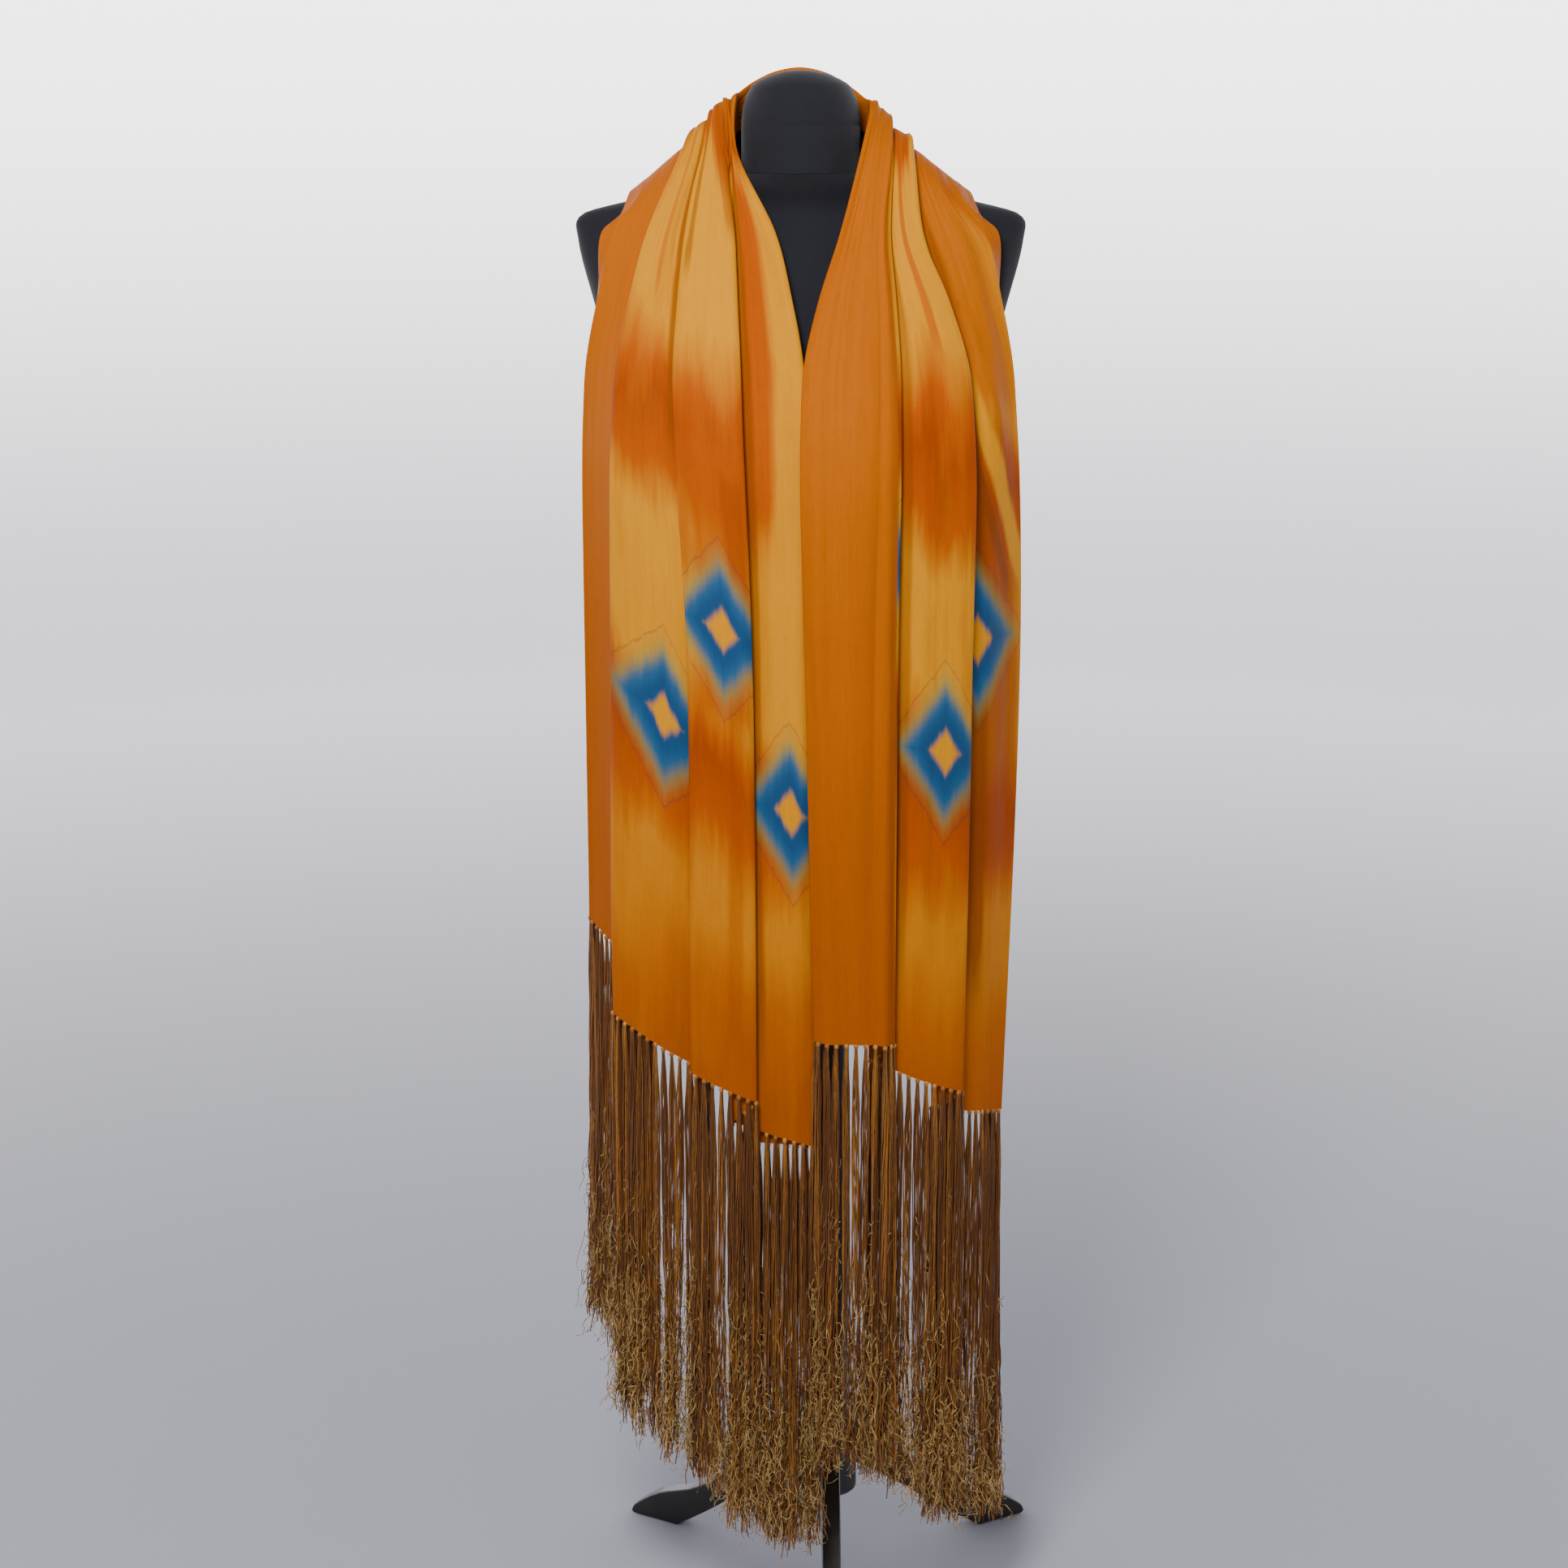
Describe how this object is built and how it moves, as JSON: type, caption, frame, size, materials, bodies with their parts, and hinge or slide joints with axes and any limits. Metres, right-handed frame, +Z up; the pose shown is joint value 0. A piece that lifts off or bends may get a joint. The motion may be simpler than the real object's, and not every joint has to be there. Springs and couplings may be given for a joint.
{
  "type": "piano shawl on a dress form",
  "caption": "Long silk shawl with a knotted fringe at both ends, hung in pleats round the neck of a covered dress form on a low wooden tripod.",
  "frame": {"origin": "middle of the bounding box, on the floor", "axes": "+Z up, -Y towards the front of the form, +X to the right as seen from the front"},
  "size_m": [0.4308, 0.3504, 1.4429],
  "materials": {
    "silk": "soft sheen dyed silk",
    "yarn": "brown and gold rayon yarn",
    "jersey": "matte black jersey cover",
    "paint": "satin black painted wood"
  },
  "bodies": {
    "root": {"shawl_left_front": "silk", "shawl_back": "silk", "shawl_right_front": "silk", "fringe_left": "yarn", "fringe_right": "yarn", "form_torso": "jersey", "form_neck": "jersey", "pole": "paint", "hub": "paint", "leg_front": "paint", "leg_right": "paint", "leg_left": "paint"}
  },
  "joints": []
}
